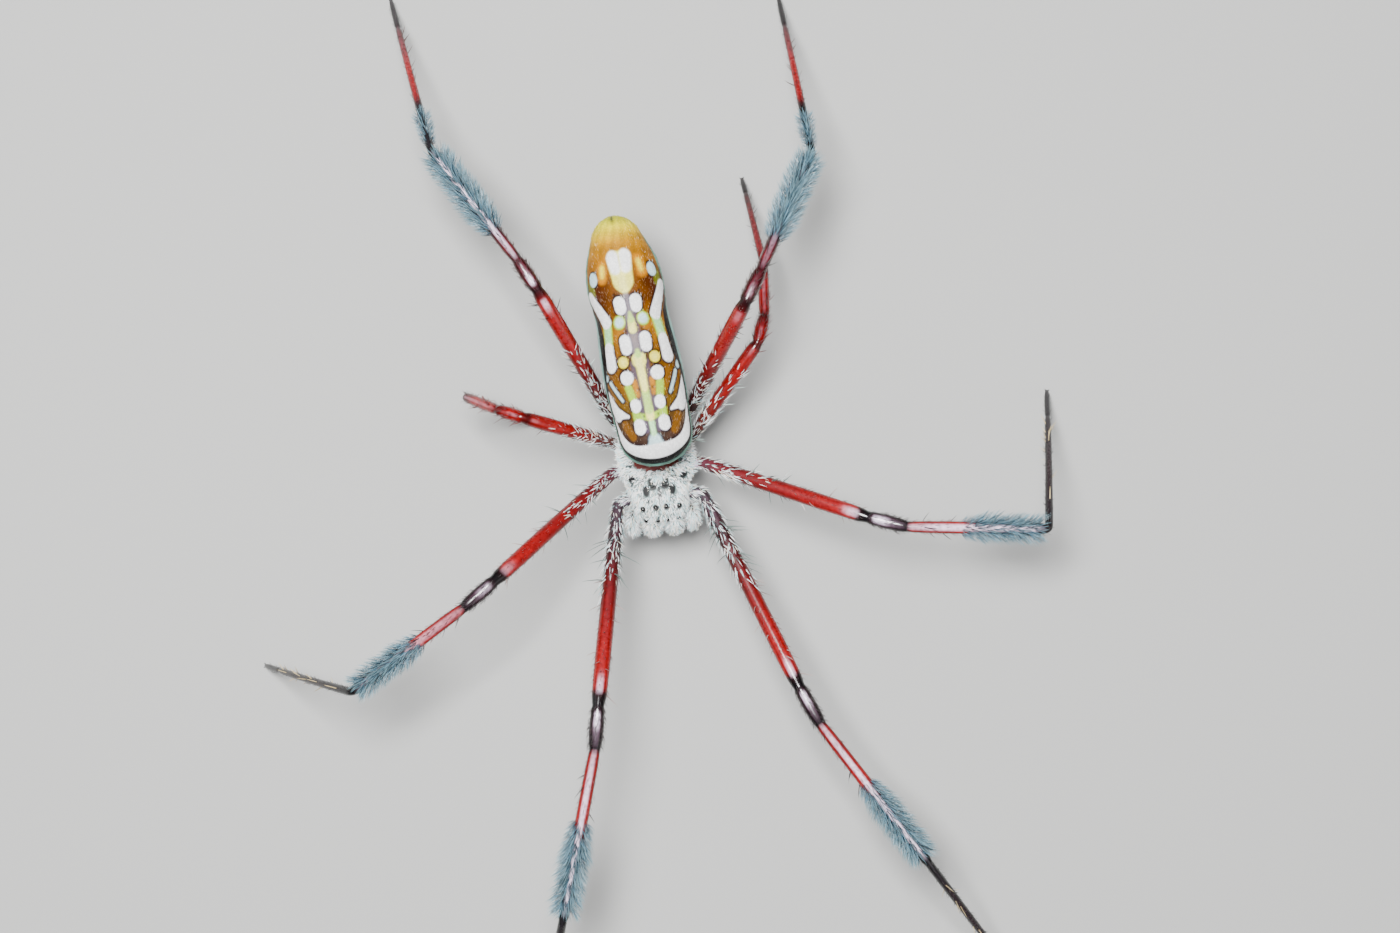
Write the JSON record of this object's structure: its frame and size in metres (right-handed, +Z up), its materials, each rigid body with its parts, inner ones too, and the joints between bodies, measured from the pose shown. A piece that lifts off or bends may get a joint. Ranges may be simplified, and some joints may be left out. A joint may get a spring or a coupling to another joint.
{
  "type": "golden silk orb weaver spider",
  "caption": "Life-size still model of an adult female golden silk orb weaver, standing on eight long red legs with dark brushes and a patterned golden abdomen",
  "frame": {"origin": "on the floor under the middle of the spider's whole box", "axes": "+Z up, the head points to -Y, the spider's own left is +X"},
  "size_m": [0.0746, 0.0988, 0.0207],
  "materials": {
    "carapace": "dark cuticle under dense silvery-white down",
    "abdomen": "satin skin, gold and ochre with white, yellow and purple-black marks",
    "dark_cuticle": "dark brown, smooth cuticle",
    "eye": "polished black",
    "fang": "polished black-brown",
    "red_leg": "glossy deep red cuticle with white bristles",
    "knee": "very glossy black-maroon cuticle",
    "shin": "glossy red cuticle under a dark blue-grey brush",
    "foot": "satin dark maroon cuticle with pale spines"
  },
  "bodies": {
    "root": {"cephalothorax": "carapace", "abdomen": "abdomen", "pedicel": "dark_cuticle", "spinnerets": "dark_cuticle", "maxillae": "dark_cuticle", "eye_front_median_left": "eye", "eye_front_median_right": "eye", "eye_front_lateral_left": "eye", "eye_front_lateral_right": "eye", "eye_rear_median_left": "eye", "eye_rear_median_right": "eye", "eye_rear_lateral_left": "eye", "eye_rear_lateral_right": "eye", "chelicera_left": "carapace", "fang_left": "fang", "palp_left": "carapace", "chelicera_right": "carapace", "fang_right": "fang", "palp_right": "carapace", "leg1_left_coxa": "red_leg", "leg1_left_femur": "red_leg", "leg1_left_patella": "knee", "leg1_left_tibia": "shin", "leg1_left_metatarsus": "foot", "leg1_right_coxa": "red_leg", "leg1_right_femur": "red_leg", "leg1_right_patella": "knee", "leg1_right_tibia": "shin", "leg1_right_metatarsus": "foot", "leg2_left_coxa": "red_leg", "leg2_left_femur": "red_leg", "leg2_left_patella": "knee", "leg2_left_tibia": "shin", "leg2_left_metatarsus": "foot", "leg2_right_coxa": "red_leg", "leg2_right_femur": "red_leg", "leg2_right_patella": "knee", "leg2_right_tibia": "shin", "leg2_right_metatarsus": "foot", "leg3_left_coxa": "red_leg", "leg3_left_femur": "red_leg", "leg3_left_patella": "knee", "leg3_left_tibia": "shin", "leg3_left_metatarsus": "foot", "leg3_right_coxa": "red_leg", "leg3_right_femur": "red_leg", "leg3_right_patella": "knee", "leg3_right_tibia": "shin", "leg3_right_metatarsus": "foot", "leg4_left_coxa": "red_leg", "leg4_left_femur": "red_leg", "leg4_left_patella": "knee", "leg4_left_tibia": "shin", "leg4_left_metatarsus": "foot", "leg4_right_coxa": "red_leg", "leg4_right_femur": "red_leg", "leg4_right_patella": "knee", "leg4_right_tibia": "shin", "leg4_right_metatarsus": "foot"}
  },
  "joints": []
}
